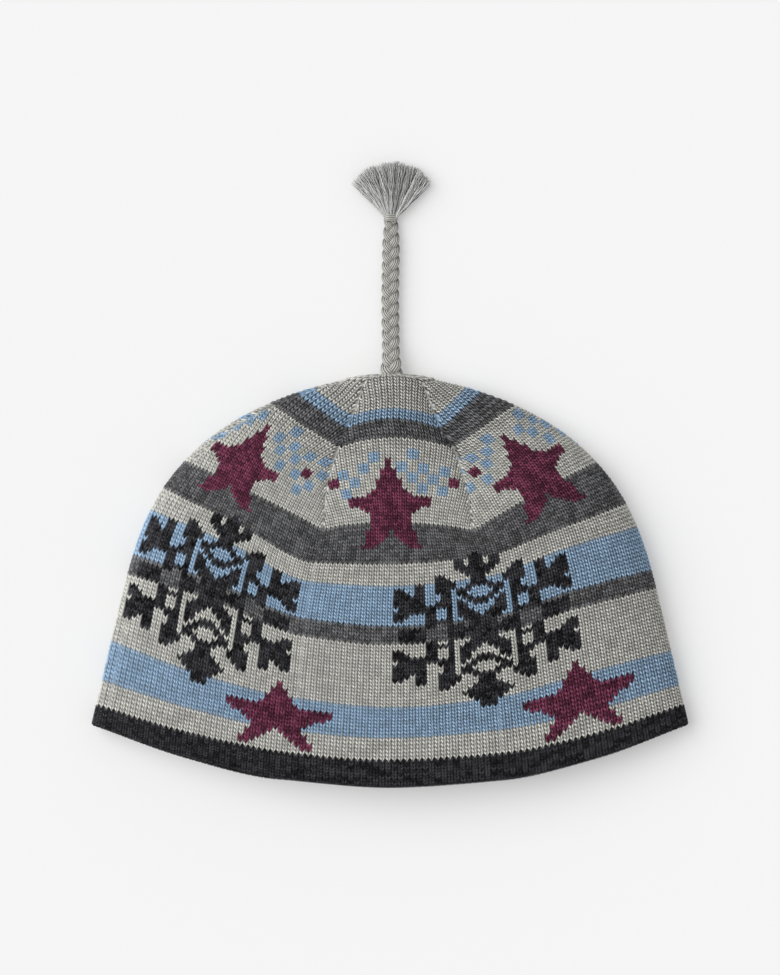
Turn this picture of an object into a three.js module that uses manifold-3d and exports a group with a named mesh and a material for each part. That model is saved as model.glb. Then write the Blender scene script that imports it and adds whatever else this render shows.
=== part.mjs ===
// Tassel beanie: a knitted hat that lies flat on its back, with a plaited cord and a fringe at the crown.
//
// Millimetres. +X runs across the hat, +Y from the hem to the crown and the tassel, +Z up from the
// surface that the hat lies on. The origin is the middle of the hat's footprint.
//
// The hat is a stack of knitted courses. Each course is one closed ring: over the front, round the
// right fold, back along the surface and round the left fold. The table courseRows gives the rings
// from course 0, the hem, to the last at the crown, and a smooth curve gives those between.

import * as THREE from 'three';
import { mergeVertices } from 'three/addons/utils/BufferGeometryUtils.js';
import Module from 'manifold-3d';

// Driving dimensions

const WALL = 3.0;
const BAND_WALL = 4.2;
const PIECE_GAP = 0.3;

const GORES = 6;
const COLUMNS_PER_GORE = 12;
const BAND_TOP_COURSE = 9;
// Half the gap between the band and the shell, counted in courses.
const BAND_HALF_GAP = 0.12;
const BODY_TOP_COURSE = 64;
const CROWN_START_COURSE = 75;
const LAST_COURSE = 118;
const DARTS_START_COURSE = 72;
const DARTS_FULL_COURSE = 82;
const DART_DEPTH = 1.5;
const DART_HALF_WIDTH = 4.0;

// The hat's outline seen from above: a round crown on sides that flare a little to the hem.
const CROWN_TOP_Y = 97.15;
const CROWN_DEPTH = 115.7;
const CROWN_HALF_WIDTH = 101.4;
const CROWN_SQUARENESS = 3.42;
const CROWN_FULLNESS = 1.65;
const SIDE_FLARE = 0.2367;

// The resting side is flat, and curls up to the fold over this width.
const HEEL_WIDTH = 9.5;

// The crown closes on the root of the plait.
const NECK_RADIUS = 5.6;
const NECK_X = 0.6;
const NECK_Y = 97.67;
const NECK_Z = 7.3;

const BRAID_RADIUS = 4.4;
const BRAID_SIDES = 10;
const BRAID_STEPS = 14;
const TIE_RADIUS = 4.1;
const TIE_LENGTH = 3.8;
const TIE_ROUNDING = 1.2;
const TIE_SIDES = 16;

// The route of the plait's middle line, from the crown to the tie.
const braidRoute = [
  [0.6, 98.1, 7.3],
  [0.6, 101.2, 7.2],
  [0.5, 105.0, 6.5],
  [0.4, 110.0, 5.3],
  [0.3, 115.0, 4.6],
  [0.2, 122.0, 4.45],
  [0.1, 132.0, 4.45],
  [0.2, 142.0, 4.45],
  [0.4, 152.0, 4.45],
  [0.5, 160.0, 4.45],
  [0.5, 168.2, 4.45],
];

const FRINGE_HALF_ANGLE = 47;
const FRINGE_LENGTH = 24.6;
const LOWER_LOCKS = 11;
const UPPER_LOCKS = 8;
// The upper locks fan out over this share of the angle.
const UPPER_SPREAD = 0.88;
const LOCK_SIDES = 8;
const HEAD_RADIUS = 3.9;
const HEAD_LENGTH = 5.0;
const HEAD_SIDES = 16;
// How far the head reaches back from the point where the locks start.
const HEAD_BACK = 0.5;

const KNIT_COLOUR = 0xa9a7a2;
const HEM_COLOUR = 0x34363a;
const YARN_COLOUR = 0xb4b3b0;
const WOOL_ROUGHNESS = 0.95;

// One row for each course where the hat changes, counted from the hem. y is the height of the course
// up the hat's middle. left and right say how far the course has climbed above that at the seam
// between two gores, halfway on to the fold, and at the fold. seam is the place of that seam as a
// share of the half width, top the height of the front above the surface, and fold the height of the
// side fold.
const courseRows = [
  { at: 0, y: -97.7, left: [3.8, 14.1, 29.6], right: [3.3, 13.6, 29.6], seam: 0.355, top: 21, fold: 7.6 },
  { at: 9, y: -84, left: [3.3, 12.2, 25.9], right: [3.3, 12.2, 26.1], seam: 0.355, top: 24, fold: 7.8 },
  { at: 15, y: -73.5, left: [3.3, 12.7, 27], right: [3.8, 12.7, 24.7], seam: 0.355, top: 26, fold: 8 },
  { at: 24, y: -59.1, left: [4.2, 14.6, 31], right: [4.7, 16, 26.3], seam: 0.355, top: 29, fold: 8.1 },
  { at: 44, y: -26.2, left: [3.8, 20.2, 33.1], right: [4.7, 16.5, 26.3], seam: 0.355, top: 33, fold: 8.2 },
  { at: 58, y: -2.3, left: [1.9, 19.7, 35.7], right: [4.2, 16.9, 27.7], seam: 0.355, top: 34, fold: 8.2 },
  { at: 64, y: 8.1, left: [0.5, 18.3, 35.7], right: [3.3, 15.5, 28.2], seam: 0.358, top: 34, fold: 8.1 },
  { at: 75, y: 27.4, left: [-3.3, 13.6, 29.1], right: [-3.8, 13.2, 28.2], seam: 0.365, top: 33, fold: 8 },
  { at: 88, y: 48, left: [-4.2, 10.3, 24], right: [-4.2, 10.3, 24], seam: 0.42, top: 29, fold: 7.8 },
  { at: 100, y: 67.3, left: [-4.7, 5.6, 16.5], right: [-4.7, 5.6, 15.5], seam: 0.47, top: 23.5, fold: 7.6 },
  { at: 105, y: 76.2, left: [-4.7, 3.8, 12.2], right: [-4.7, 3.8, 12.7], seam: 0.51, top: 21, fold: 7.5 },
  { at: 108, y: 80.9, left: [-3.3, 2.8, 10.2], right: [-3.3, 2.8, 10.2], seam: 0.556, top: 19.5, fold: 7.4 },
  { at: 118, y: 95.7, left: [-2, -2, -1.2], right: [-2, -2, -1.2], seam: 0.62, top: 14.6, fold: 7.3 },
];

// The whole pattern of gores is turned a little round the hat, less so near the crown.
const TURN_AT_BODY = 3.5;
const TURN_AT_CROWN = 1.5;

// Smooth curve through points, with no overshoot between them

function slopesOf(xs, ys) {
  const steps = xs.slice(1).map((x, i) => (ys[i + 1] - ys[i]) / (x - xs[i]));
  const inner = steps.slice(1).map((next, i) => {
    const last = steps[i];
    return last * next <= 0 ? 0 : (2 * last * next) / (last + next);
  });
  return [steps[0], ...inner, steps[steps.length - 1]];
}

function curveThrough(xs, ys) {
  const slopes = slopesOf(xs, ys);
  return (x) => {
    const held = Math.min(Math.max(x, xs[0]), xs[xs.length - 1]);
    const i = Math.min(Math.max(xs.findIndex((knot) => knot > held) - 1, 0), xs.length - 2);
    const k = xs[xs.length - 1] <= held ? xs.length - 2 : i;
    const width = xs[k + 1] - xs[k];
    const t = (held - xs[k]) / width;
    const fromLow = ys[k] + t * t * (3 - 2 * t) * (ys[k + 1] - ys[k]);
    const bend = t * (1 - t) * (1 - t) * slopes[k] - t * t * (1 - t) * slopes[k + 1];
    return fromLow + bend * width;
  };
}

const courses = courseRows.map((row) => row.at);
const column = (read) => curveThrough(courses, courseRows.map(read));
const centreYAt = column((row) => row.y);
const seamShareAt = column((row) => row.seam);
const topZAt = column((row) => row.top);
const foldZAt = column((row) => row.fold);
const risesAt = {
  left: [0, 1, 2].map((place) => column((row) => row.left[place])),
  right: [0, 1, 2].map((place) => column((row) => row.right[place])),
};

const smoothStep = (low, high, value) => THREE.MathUtils.smoothstep(value, low, high);
const lerp = THREE.MathUtils.lerp;

function outlineHalfWidth(y) {
  const depth = Math.max(CROWN_TOP_Y - y, 0);
  const share = Math.min(depth / CROWN_DEPTH, 1);
  const round = (1 - (1 - share) ** CROWN_SQUARENESS) ** (1 / CROWN_FULLNESS);
  return CROWN_HALF_WIDTH * round + SIDE_FLARE * depth;
}

function turnAt(course) {
  const share = smoothStep(CROWN_START_COURSE, LAST_COURSE, course);
  return lerp(TURN_AT_BODY, TURN_AT_CROWN, share);
}

// How far a course has climbed above its middle, at a share of the half width out to one side.
// In the body the course is one smooth curve; above the darts it has a corner at the seam.
function riseAlong(course, side, share, seamShare) {
  const [seam, middle, fold] = risesAt[side].map((rise) => rise(course));
  const halfway = (seamShare + 1) / 2;
  const smooth = curveThrough([-seamShare, 0, seamShare, halfway, 1], [seam, 0, seam, middle, fold]);
  const corner = smoothStep(BODY_TOP_COURSE, CROWN_START_COURSE, course);
  let cornered = seam * (share / seamShare) ** 2;
  if (share > seamShare) {
    const t = (share - seamShare) / (1 - seamShare);
    const bulge = middle - (seam + fold) / 2;
    cornered = lerp(seam, fold, t) + 4 * bulge * t * (1 - t);
  }
  return lerp(smooth(share), cornered, corner);
}

// One course as a closed ring of points, with the distance along it and the places of the six seams

const RING_SAMPLES = 180;

function makeRing(course) {
  const centreY = centreYAt(course);
  const foldZ = foldZAt(course);
  const archZ = topZAt(course) - foldZ;
  const seamShare = seamShareAt(course);
  const turn = turnAt(course);
  const halfWidth = {
    left: outlineHalfWidth(centreY + risesAt.left[2](course)),
    right: outlineHalfWidth(centreY + risesAt.right[2](course)),
  };

  const pointAt = (angle, onFront) => {
    const share = Math.sin(angle);
    const side = share < 0 ? 'left' : 'right';
    const reach = halfWidth[side];
    const outward = side === 'right' ? 1 : -1;
    const shift = (onFront ? turn : -turn) * outward;
    const y = centreY + riseAlong(course, side, Math.abs(share), seamShare + shift / reach);
    let z = foldZ + archZ * Math.cos(angle);
    if (!onFront) {
      const intoHeel = Math.max(Math.abs(share) * reach - (reach - HEEL_WIDTH), 0) / HEEL_WIDTH;
      z = foldZ * (1 - Math.sqrt(Math.max(1 - intoHeel ** 2, 0)));
    }
    return new THREE.Vector3(share * reach, y, z);
  };

  const points = [];
  const quarter = Math.PI / 2;
  for (let i = 0; i < RING_SAMPLES; i += 1) {
    points.push(pointAt(-quarter + (Math.PI * i) / RING_SAMPLES, true));
  }
  for (let i = 0; i < RING_SAMPLES; i += 1) {
    points.push(pointAt(quarter - (Math.PI * i) / RING_SAMPLES, false));
  }
  points.push(points[0].clone());

  const distances = [0];
  for (let i = 1; i < points.length; i += 1) {
    distances.push(distances[i - 1] + points[i].distanceTo(points[i - 1]));
  }

  const distanceAtShare = (share, onFront) => {
    const turned = (Math.asin(share) + quarter) / Math.PI;
    const index = onFront ? turned * RING_SAMPLES : (2 - turned) * RING_SAMPLES;
    const low = Math.floor(index);
    return lerp(distances[low], distances[low + 1], index - low);
  };
  const perimeter = distances[distances.length - 1];
  const leftSeam = -seamShare + turn / halfWidth.left;
  const rightSeam = seamShare + turn / halfWidth.right;
  const frontLeft = distanceAtShare(leftSeam, true);
  const frontRight = distanceAtShare(rightSeam, true);
  const backRight = distanceAtShare(-leftSeam, false);
  const backLeft = distanceAtShare(-rightSeam, false);
  // The last column before each side seam runs up the fold, so the fold is a line of the mesh.
  const rightFold = distances[RING_SAMPLES];
  const sideRight = rightFold + (rightFold - frontRight) / (COLUMNS_PER_GORE - 1);
  const sideLeft = perimeter + (perimeter - backLeft) / (COLUMNS_PER_GORE - 1);
  const seams = [frontLeft, frontRight, sideRight, backRight, backLeft, sideLeft, frontLeft + perimeter];
  return { points, distances, perimeter, seams };
}

const ringCache = new Map();

function ringOf(course) {
  const key = course.toFixed(4);
  if (!ringCache.has(key)) {
    ringCache.set(key, makeRing(course));
  }
  return ringCache.get(key);
}

// A point of the ring. The place counts gores round the hat, so 2.5 is the middle of the third gore.
function ringPoint(course, place) {
  const ring = ringOf(course);
  const turns = Math.floor(place / GORES);
  const inTurn = place - turns * GORES;
  const gore = Math.min(Math.floor(inTurn), GORES - 1);
  const along = lerp(ring.seams[gore], ring.seams[gore + 1], inTurn - gore);
  const wrapped = ((along % ring.perimeter) + ring.perimeter) % ring.perimeter;
  let high = ring.distances.findIndex((distance) => distance > wrapped);
  if (high < 0) high = ring.distances.length - 1;
  const low = high - 1;
  const share = (wrapped - ring.distances[low]) / (ring.distances[high] - ring.distances[low]);
  return ring.points[low].clone().lerp(ring.points[high], share);
}

function outwardAt(course, place) {
  const courseStep = 0.6;
  const placeStep = 0.04;
  const low = Math.max(course - courseStep, 0);
  const high = Math.min(course + courseStep, LAST_COURSE);
  const up = ringPoint(high, place).sub(ringPoint(low, place));
  const round = ringPoint(course, place + placeStep).sub(ringPoint(course, place - placeStep));
  return round.cross(up).normalize();
}

// The outer surface with the darts pressed in along the seams
function surfacePoint(course, place, inward) {
  const point = ringPoint(course, place);
  const ring = ringOf(course);
  const goreWidth = ring.perimeter / GORES;
  const fromSeam = Math.abs(place - Math.round(place)) * goreWidth;
  const dartShare = smoothStep(DARTS_START_COURSE, DARTS_FULL_COURSE, course);
  const dart = DART_DEPTH * dartShare * Math.max(1 - fromSeam / DART_HALF_WIDTH, 0);
  const depth = inward > 0 ? inward : dart;
  return point.addScaledVector(outwardAt(course, place), -depth);
}

// The crown gathers from the last course to the root of the plait

function gatherPoint(share, place) {
  const start = surfacePoint(LAST_COURSE, place, 0);
  const ring = ringOf(LAST_COURSE);
  const around = (ring.seams[0] + (place / GORES) * ring.perimeter) / ring.perimeter;
  const angle = Math.PI - around * 2 * Math.PI;
  const end = new THREE.Vector3(
    NECK_X + NECK_RADIUS * Math.cos(angle),
    NECK_Y,
    NECK_Z + NECK_RADIUS * Math.sin(angle),
  );
  const y = lerp(start.y, NECK_Y, Math.sqrt(share));
  const gathered = start.lerp(end, share);
  gathered.y = y;
  return gathered;
}

// Meshes from rows of points

const placesRound = Array.from({ length: GORES * COLUMNS_PER_GORE }, (_, i) => i / COLUMNS_PER_GORE);

function addStrip(corners, lowRow, highRow) {
  lowRow.forEach((point, i) => {
    const next = (i + 1) % lowRow.length;
    corners.push(point, lowRow[next], highRow[next]);
    corners.push(point, highRow[next], highRow[i]);
  });
}

function addCap(corners, row, apex) {
  row.forEach((point, i) => {
    corners.push(point, row[(i + 1) % row.length], apex);
  });
}

function geometryFrom(corners) {
  const geometry = new THREE.BufferGeometry().setFromPoints(corners);
  geometry.computeVertexNormals();
  return geometry;
}

function namedMesh(name, geometry, colour) {
  const material = new THREE.MeshStandardMaterial({ color: colour, roughness: WOOL_ROUGHNESS, metalness: 0 });
  const mesh = new THREE.Mesh(geometry, material);
  mesh.name = name;
  return mesh;
}

// Body and crown in one piece of knitting

const shellCourses = [14, 20, 28, 36, 44, 52, 60, 67, 74, 80, 86, 92, 97, 101, 105, 108.5, 112, 115, 118];
const gatherShares = [0.35, 0.7, 1];

function makeKnitShell() {
  const rim = BAND_TOP_COURSE + BAND_HALF_GAP;
  const rowAt = (course, inward) => placesRound.map((place) => surfacePoint(course, place, inward));
  const outerRows = [rim, ...shellCourses].map((course) => rowAt(course, 0));
  gatherShares.forEach((share) => {
    outerRows.push(placesRound.map((place) => gatherPoint(share, place)));
  });
  const innerRows = [rim, ...shellCourses].map((course) => rowAt(course, WALL));
  const outerApex = new THREE.Vector3(NECK_X, NECK_Y, NECK_Z);
  const innerApex = new THREE.Vector3(NECK_X, NECK_Y - WALL, NECK_Z);

  const corners = [];
  outerRows.slice(1).forEach((row, i) => addStrip(corners, outerRows[i], row));
  addCap(corners, outerRows[outerRows.length - 1], outerApex);
  innerRows.slice(1).forEach((row, i) => addStrip(corners, row, innerRows[i]));
  addCap(corners, [...innerRows[innerRows.length - 1]].reverse(), innerApex);
  addStrip(corners, innerRows[0], outerRows[0]);
  return namedMesh('knit_shell', geometryFrom(corners), KNIT_COLOUR);
}

// Hem band: the edge is turned up inside, so its section is a rounded, thicker strip. The section
// runs down the outside, round the edge and up the inside, in courses and depth under the surface.

const BAND_EDGE_ROUNDING = 0.5;
const BAND_INNER_STEP = 0.4;
const bandTop = BAND_TOP_COURSE - BAND_HALF_GAP;
const bandSection = [
  { course: bandTop, inward: 0 },
  { course: 6, inward: 0 },
  { course: 3, inward: 0 },
  { course: 0.8, inward: BAND_EDGE_ROUNDING },
  { course: 0, inward: BAND_WALL / 2 },
  { course: 0.8, inward: BAND_WALL - BAND_EDGE_ROUNDING },
  { course: 3, inward: BAND_WALL },
  { course: 6, inward: BAND_WALL },
  { course: bandTop, inward: BAND_WALL - BAND_INNER_STEP },
];

function makeHemBand() {
  const rows = bandSection.map(({ course, inward }) => (
    placesRound.map((place) => surfacePoint(course, place, inward))
  ));
  const corners = [];
  rows.forEach((row, i) => addStrip(corners, rows[(i + 1) % rows.length], row));
  return namedMesh('hem_band', geometryFrom(corners), HEM_COLOUR);
}

// Plait: a plain round cord along its route, laid down from the crown to the surface

function makeBraid() {
  const section = new THREE.Shape();
  for (let i = 0; i < BRAID_SIDES; i += 1) {
    const angle = ((i + 0.5) / BRAID_SIDES) * 2 * Math.PI;
    const point = [BRAID_RADIUS * Math.cos(angle), BRAID_RADIUS * Math.sin(angle)];
    if (i === 0) section.moveTo(...point);
    else section.lineTo(...point);
  }
  section.closePath();
  const route = new THREE.CatmullRomCurve3(braidRoute.map((point) => new THREE.Vector3(...point)));
  const geometry = new THREE.ExtrudeGeometry(section, { steps: BRAID_STEPS, extrudePath: route });
  return namedMesh('braid', geometry, YARN_COLOUR);
}

// Tie: the yarn wound round the end of the plait

function makeTie() {
  const half = TIE_LENGTH / 2;
  const profile = [
    new THREE.Vector2(0, -half),
    new THREE.Vector2(TIE_RADIUS - TIE_ROUNDING, -half),
    new THREE.Vector2(TIE_RADIUS, -half + TIE_ROUNDING),
    new THREE.Vector2(TIE_RADIUS, half - TIE_ROUNDING),
    new THREE.Vector2(TIE_RADIUS - TIE_ROUNDING, half),
    new THREE.Vector2(0, half),
  ];
  const tie = namedMesh('braid_tie', new THREE.LatheGeometry(profile, TIE_SIDES), YARN_COLOUR);
  const [endX, endY, endZ] = braidRoute[braidRoute.length - 1];
  tie.position.set(endX, endY + PIECE_GAP + half, endZ);
  return tie;
}

// Fringe: locks of cut yarn in two layers, fused to a head behind the tie

const lockSections = [
  { reach: 0.07, halfWidth: 1.7, share: 0.75 },
  { reach: 0.25, halfWidth: 2.0, share: 1.0 },
  { reach: 0.55, halfWidth: 2.5, share: 1.0 },
  { reach: 0.82, halfWidth: 2.9, share: 0.9 },
  { reach: 0.95, halfWidth: 2.5, share: 0.65 },
  { reach: 1.0, halfWidth: 1.2, share: 0.3 },
];

function lockGeometry(angle, length, rootHeight, tipHeight, halfHeight) {
  const along = new THREE.Vector3(Math.sin(angle), Math.cos(angle), 0);
  const across = new THREE.Vector3(Math.cos(angle), -Math.sin(angle), 0);
  const rows = lockSections.map(({ reach, halfWidth, share }) => {
    const middle = along.clone().multiplyScalar(reach * length);
    middle.z = lerp(rootHeight, tipHeight, reach);
    return Array.from({ length: LOCK_SIDES }, (_, i) => {
      const turn = ((i + 0.5) / LOCK_SIDES) * 2 * Math.PI;
      const point = middle.clone().addScaledVector(across, halfWidth * Math.cos(turn));
      point.z -= halfHeight * share * Math.sin(turn);
      return point;
    });
  });
  const corners = [];
  rows.slice(1).forEach((row, i) => addStrip(corners, rows[i], row));
  addCap(corners, rows[rows.length - 1], centreOf(rows[rows.length - 1]));
  addCap(corners, [...rows[0]].reverse(), centreOf(rows[0]));
  return geometryFrom(corners);
}

function centreOf(row) {
  return row.reduce((sum, point) => sum.add(point), new THREE.Vector3()).divideScalar(row.length);
}

const wasm = await Module();
wasm.setup();

function solidFrom(geometry) {
  const bare = geometry.clone();
  bare.deleteAttribute('normal');
  bare.deleteAttribute('uv');
  const merged = mergeVertices(bare.index ? bare.toNonIndexed() : bare);
  return new wasm.Manifold(new wasm.Mesh({
    numProp: 3,
    vertProperties: new Float32Array(merged.attributes.position.array),
    triVerts: new Uint32Array(merged.index.array),
  }));
}

function geometryOfSolid(solid) {
  const { vertProperties, triVerts } = solid.getMesh();
  const geometry = new THREE.BufferGeometry();
  geometry.setAttribute('position', new THREE.BufferAttribute(vertProperties, 3));
  geometry.setIndex(new THREE.BufferAttribute(triVerts, 1));
  geometry.computeVertexNormals();
  return geometry;
}

// The two layers of locks: half height, heights of root and tip above the surface, length of the
// outer locks as a share of the middle one's, and spread of the fan
const LOWER_LOCK = { half: 2.2, root: 3.6, tip: 2.3, sideLength: 0.97, spread: 1 };
const UPPER_LOCK = { half: 2.0, root: 5.4, tip: 6.0, sideLength: 0.93, spread: UPPER_SPREAD };

function lockFan(count, layer) {
  return Array.from({ length: count }, (_, i) => {
    const across = (2 * i) / (count - 1) - 1;
    const angle = THREE.MathUtils.degToRad(FRINGE_HALF_ANGLE * across * layer.spread);
    const length = FRINGE_LENGTH * lerp(1, layer.sideLength, Math.abs(across));
    return lockGeometry(angle, length, layer.root, layer.tip, layer.half);
  });
}

function makeFringe() {
  const [endX, endY, endZ] = braidRoute[braidRoute.length - 1];
  const head = new THREE.CylinderGeometry(HEAD_RADIUS, HEAD_RADIUS, HEAD_LENGTH, HEAD_SIDES);
  head.translate(0, HEAD_LENGTH / 2 - HEAD_BACK, endZ);
  const pieces = [head, ...lockFan(LOWER_LOCKS, LOWER_LOCK), ...lockFan(UPPER_LOCKS, UPPER_LOCK)];
  const joined = pieces.map(solidFrom).reduce((sum, solid) => sum.add(solid));
  const fringe = namedMesh('fringe', geometryOfSolid(joined), YARN_COLOUR);
  fringe.position.set(endX, endY + 2 * PIECE_GAP + TIE_LENGTH + HEAD_BACK, 0);
  return fringe;
}

const hat = new THREE.Group();
hat.add(makeKnitShell(), makeHemBand(), makeBraid(), makeTie(), makeFringe());

export default hat;
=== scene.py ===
"""Tassel beanie: the looks of a knitted hat that lies flat on its back, with a plaited cord and a fringe.

Every stitch is modelled. The hat is six gores of knitting and a turned-up hem, laid over the surface
of the packed hat. Lengths are in millimetres here and turn to metres when a mesh is made. The surface
is counted as the knitter counts it: courses from the hem up, wales and gores round the hat.
"""

import math
from collections import namedtuple

import bpy
import numpy as np
from bpy.props import FloatProperty, FloatVectorProperty, IntProperty, PointerProperty
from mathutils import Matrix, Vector


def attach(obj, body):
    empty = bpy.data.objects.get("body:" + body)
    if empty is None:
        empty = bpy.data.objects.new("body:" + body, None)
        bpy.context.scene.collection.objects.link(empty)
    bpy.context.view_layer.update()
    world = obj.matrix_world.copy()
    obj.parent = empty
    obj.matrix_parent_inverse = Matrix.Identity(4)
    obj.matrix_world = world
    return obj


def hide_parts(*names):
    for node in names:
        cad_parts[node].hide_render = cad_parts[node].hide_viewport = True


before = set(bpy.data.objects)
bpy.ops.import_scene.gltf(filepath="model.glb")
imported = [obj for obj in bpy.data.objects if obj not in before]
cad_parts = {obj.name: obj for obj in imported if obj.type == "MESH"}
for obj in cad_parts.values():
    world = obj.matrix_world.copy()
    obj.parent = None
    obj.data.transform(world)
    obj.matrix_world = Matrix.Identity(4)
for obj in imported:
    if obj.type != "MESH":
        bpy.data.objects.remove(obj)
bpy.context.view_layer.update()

bl_info = {
    "name": "Tassel beanie",
    "version": (1, 0, 0),
    "blender": (4, 5, 0),
    "location": "3D View > Sidebar > Beanie",
    "description": "Knits a hat with stars, snowflakes and stripes, its plaited cord and its fringe",
    "category": "Add Mesh",
}

MM = 0.001
FULL_TURN = 2 * math.pi

# The photograph's height in pixels, the real length of one, and the height up the hat of its middle
PHOTO_HEIGHT = 975
MM_PER_PIXEL = 0.47
PHOTO_CENTRE_Y = 43.6


def linear(hex_colour):
    """An sRGB hex colour as linear red, green and blue."""
    parts = [int(hex_colour[i:i + 2], 16) / 255 for i in (1, 3, 5)]
    return [p / 12.92 if p <= 0.04045 else ((p + 0.055) / 1.055) ** 2.4 for p in parts]


def length_property(name, description, default_mm):
    return FloatProperty(name=name, description=description, default=default_mm * MM, min=0, unit="LENGTH")


def colour_property(name, description, hex_colour):
    return FloatVectorProperty(
        name=name, description=description, default=linear(hex_colour), size=3, min=0, max=1, subtype="COLOR"
    )


class KnitSizes(bpy.types.PropertyGroup):
    """Sizes of the knitted wall."""

    wall: length_property("Wall", "Thickness of the knitted wall", 3.0)
    hem_wall: length_property("Hem wall", "Thickness of the hem, which is turned up inside", 4.2)
    relief: length_property("Stitch relief", "Depth of the grooves between the legs of the stitches", 1.0)
    leg_rise: FloatProperty(
        name="Leg rise", default=1.05, min=0.5, max=2.0,
        description="How many courses a stitch's leg climbs from the middle of its wale to the edge",
    )


class PlaitSizes(bpy.types.PropertyGroup):
    """Sizes of the plait, its tie and the fringe."""

    width: length_property("Width", "Width of the plait", 8.6)
    pitch: length_property("Pitch", "Length in which a strand crosses the plait and comes back", 16.0)
    yarn: length_property("Yarn", "Thickness of one yarn of the plait", 0.8)
    yarns_in_strand: IntProperty(
        name="Yarns", description="Yarns that show round each of the three strands", default=12, min=5, max=16
    )
    tie_turns: FloatProperty(
        name="Tie turns", description="Turns of yarn in the tie", default=7.5, min=2, max=12
    )
    fringe_length: length_property("Fringe", "Length of the cut ends beyond the tie", 26.0)
    fringe_ends: IntProperty(
        name="Ends", description="Number of fine yarn ends in the fringe", default=810, min=100, max=1200
    )
    fringe_angle: FloatProperty(
        name="Fan", default=math.radians(44), subtype="ANGLE",
        description="Half the angle over which the fringe fans out",
    )


class YarnColours(bpy.types.PropertyGroup):
    """Colours of the yarns."""

    light_grey: colour_property("Light heather grey", "Main colour of the hat", "#E4E3DC")
    mid_grey: colour_property("Mid heather grey", "Dark stripes", "#78787A")
    blue: colour_property("Sky blue", "Blue stripes and sprigs", "#ADCCEA")
    burgundy: colour_property("Burgundy", "Stars", "#80405A")
    charcoal: colour_property("Charcoal", "Hem and snowflakes", "#3D3D41")
    tassel: colour_property("Tassel grey", "Plait, tie and fringe", "#D8D6CF")


class StageSettings(bpy.types.PropertyGroup):
    """Floor and light."""

    floor: colour_property("Floor", "Colour of the plain floor", "#CFCFCF")
    floor_glow: FloatProperty(
        name="Floor glow", default=0.3,
        description="Light that comes up through the floor, which is a light table",
    )
    key_strength: FloatProperty(
        name="Key light", description="Strength of the soft light from the upper left", default=2.18
    )
    key_spread: FloatProperty(
        name="Key spread", default=math.radians(60), subtype="ANGLE",
        description="Angle that the key light fills, which softens its shadows",
    )
    sky: FloatProperty(name="Fill light", description="Brightness of the light from all round", default=0.49)


# The hat's surface, as the packed hat has it

GORES = 6
WALES_IN_GORE = 34
BAND_TOP_COURSE = 9
BODY_TOP_COURSE = 64
CROWN_START_COURSE = 75
LAST_COURSE = 118
GATHER_COURSES = 4
NECK_COURSE = LAST_COURSE + GATHER_COURSES
DARTS_START_COURSE = 72
DARTS_FULL_COURSE = 82
DART_DEPTH = 0.9
DART_HALF_WIDTH = 3.2

CROWN_TOP_Y = 97.15
CROWN_DEPTH = 115.7
CROWN_HALF_WIDTH = 101.4
CROWN_SQUARENESS = 3.42
CROWN_FULLNESS = 1.65
SIDE_FLARE = 0.2367
HEEL_WIDTH = 9.5

NECK_HALF_WIDTH = 3.9
NECK_HALF_HEIGHT = 3.2
NECK_X = 0.6
NECK_Y = 97.67
NECK_Z = 7.3

TURN_AT_BODY = 3.5
TURN_AT_CROWN = 1.5

# One row for each course where the hat changes. y is the height of the course up the hat's middle.
# left and right say how far it has climbed above that at the seam between two gores, halfway on to
# the fold, and at the fold. seam is the place of that seam as a share of the half width, top the
# height of the front above the surface, and fold the height of the side fold.
CourseColumns = namedtuple("CourseColumns", "at y left right seam top fold")
COURSE_ROWS = (
    (0, -97.7, (3.8, 14.1, 29.6), (3.3, 13.6, 29.6), 0.355, 21, 7.6),
    (9, -84, (3.3, 12.2, 25.9), (3.3, 12.2, 26.1), 0.355, 24, 7.8),
    (15, -73.5, (3.3, 12.7, 27), (3.8, 12.7, 24.7), 0.355, 26, 8),
    (24, -59.1, (4.2, 14.6, 31), (4.7, 16, 26.3), 0.355, 29, 8.1),
    (44, -26.2, (3.8, 20.2, 33.1), (4.7, 16.5, 26.3), 0.355, 33, 8.2),
    (58, -2.3, (1.9, 19.7, 35.7), (4.2, 16.9, 27.7), 0.355, 34, 8.2),
    (64, 8.1, (0.5, 18.3, 35.7), (3.3, 15.5, 28.2), 0.358, 34, 8.1),
    (75, 27.4, (-3.3, 13.6, 29.1), (-3.8, 13.2, 28.2), 0.365, 33, 8),
    (88, 48, (-4.2, 10.3, 24), (-4.2, 10.3, 24), 0.42, 29, 7.8),
    (100, 67.3, (-4.7, 5.6, 16.5), (-4.7, 5.6, 15.5), 0.47, 23.5, 7.6),
    (105, 76.2, (-4.7, 3.8, 12.2), (-4.7, 3.8, 12.7), 0.51, 21, 7.5),
    (108, 80.9, (-3.3, 2.8, 10.2), (-3.3, 2.8, 10.2), 0.556, 19.5, 7.4),
    (118, 95.7, (-2, -2, -1.2), (-2, -2, -1.2), 0.62, 14.6, 7.3),
)


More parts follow.
